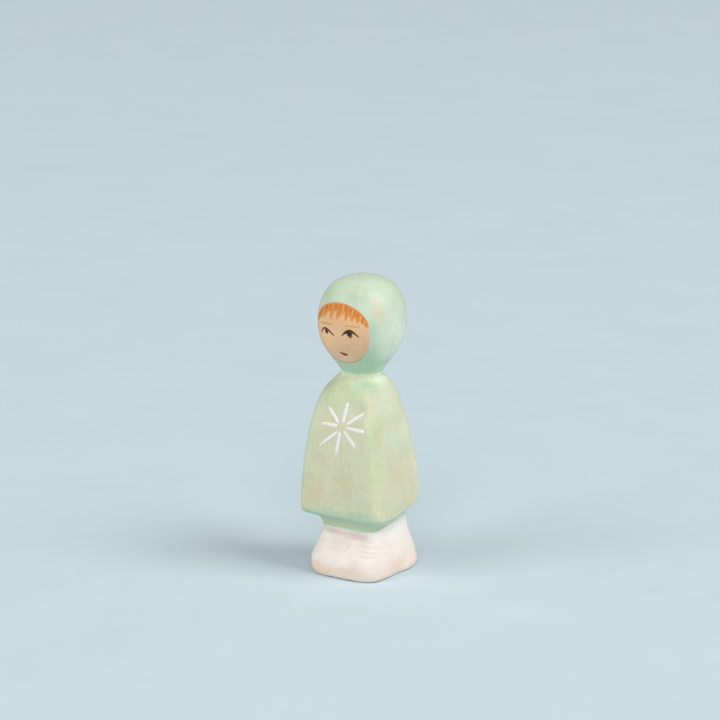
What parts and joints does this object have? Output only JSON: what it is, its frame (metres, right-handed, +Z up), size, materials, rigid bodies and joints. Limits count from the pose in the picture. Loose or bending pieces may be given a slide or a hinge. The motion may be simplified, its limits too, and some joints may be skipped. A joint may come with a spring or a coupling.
{
  "type": "wooden toy figure",
  "caption": "Carved and painted wooden figure of a child in a hooded mint cape with a white star, standing on a flared white foot; stands by itself for pretend play.",
  "frame": {"origin": "middle of the figure's bounding box, on the flat sole that it stands on", "axes": "+Z up along the figure, which looks along -Y; +X is the figure's left-hand side"},
  "size_m": [0.0274, 0.0256, 0.084],
  "materials": {
    "hood_paint": "mint wash on lime wood, waxed to a soft sheen",
    "cape_paint": "thin mint wash on lime wood with the grain showing through, matt",
    "foot_paint": "white wash on lime wood, worn at the sole, matt",
    "face_wood": "bare lime wood in a warm skin stain, waxed",
    "hair_paint": "orange brush strokes, matt",
    "dark_paint": "dark brown brush strokes, matt",
    "lip_paint": "dull red brush strokes, matt",
    "star_paint": "white brush strokes, matt",
    "beech": "bare fluted beech"
  },
  "bodies": {
    "root": {"hooded_head": "hood_paint", "cape": "cape_paint", "foot_block": "foot_paint", "neck_dowel": "beech", "foot_dowel_left": "beech", "foot_dowel_right": "beech"}
  },
  "joints": []
}
